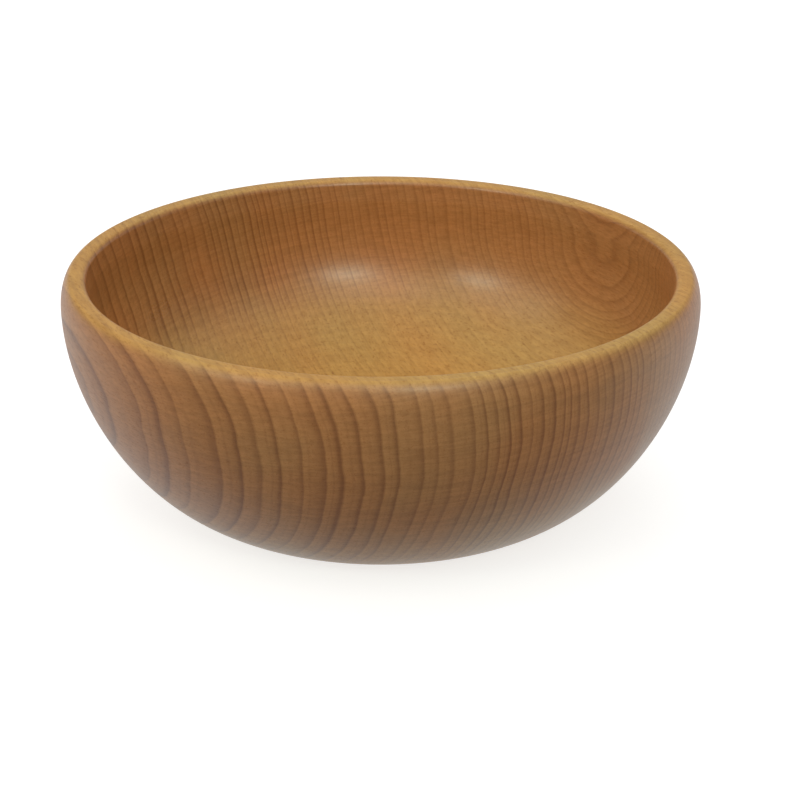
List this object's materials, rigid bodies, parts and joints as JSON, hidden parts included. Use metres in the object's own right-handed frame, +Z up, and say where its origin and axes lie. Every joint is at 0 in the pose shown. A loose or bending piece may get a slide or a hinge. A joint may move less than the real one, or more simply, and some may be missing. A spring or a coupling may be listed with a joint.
{
  "type": "shaving bowl",
  "caption": "Round turned beech bowl with a thick rounded lip, a smooth deep hollow for lathering soap with a brush, and a flat foot ring to stand on.",
  "frame": {"origin": "centre of the foot, on the surface that the bowl stands on", "axes": "+Z up along the turning axis, out of the hollow; -Y towards the person in front of the end grain; +X to that person's right"},
  "size_m": [0.12, 0.12, 0.0455],
  "materials": {
    "beech": "thin satin oil or lacquer over turned beech, with the grain showing"
  },
  "bodies": {
    "root": {"bowl": "beech"}
  },
  "joints": []
}
